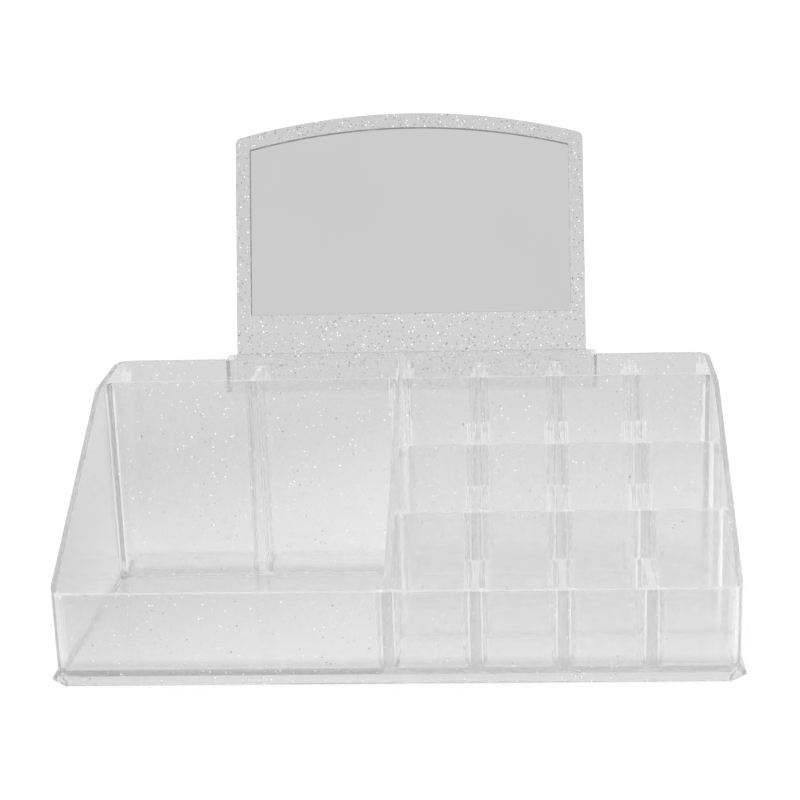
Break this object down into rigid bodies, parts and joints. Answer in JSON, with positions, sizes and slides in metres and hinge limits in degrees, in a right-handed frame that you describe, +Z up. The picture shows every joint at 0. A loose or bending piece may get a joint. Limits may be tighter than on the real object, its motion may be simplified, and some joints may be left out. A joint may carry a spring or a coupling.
{
  "type": "vanity organizer",
  "caption": "Clear glitter make-up organizer: stepped lipstick cells, tall brush compartments and a low front tray, with an arched mirror panel that lifts out of its rear pocket.",
  "frame": {"origin": "on the surface the organizer stands on, at the centre of its overall width and depth with the mirror panel in place", "axes": "+X to the right along the width, +Y from the front wall to the mirror, +Z up"},
  "size_m": [0.24, 0.1582, 0.1804],
  "materials": {
    "glitter_plastic": "clear polystyrene with silver glitter, glossy",
    "panel_plastic": "clear polystyrene with dense silver glitter, glossy",
    "mirror": "polished mirror, grey backing paint",
    "tape": "white double-sided foam tape"
  },
  "bodies": {
    "tray": {"tray": "glitter_plastic"},
    "mirror": {"mirror_panel": "panel_plastic", "mirror_sheet": "mirror", "mounting_tape": "tape"}
  },
  "joints": [
    {"name": "mirror_lift", "type": "slide", "parent": "tray", "child": "mirror", "axis": [0, 0.2672, 0.9636], "range_m": [0, 0.03]}
  ]
}
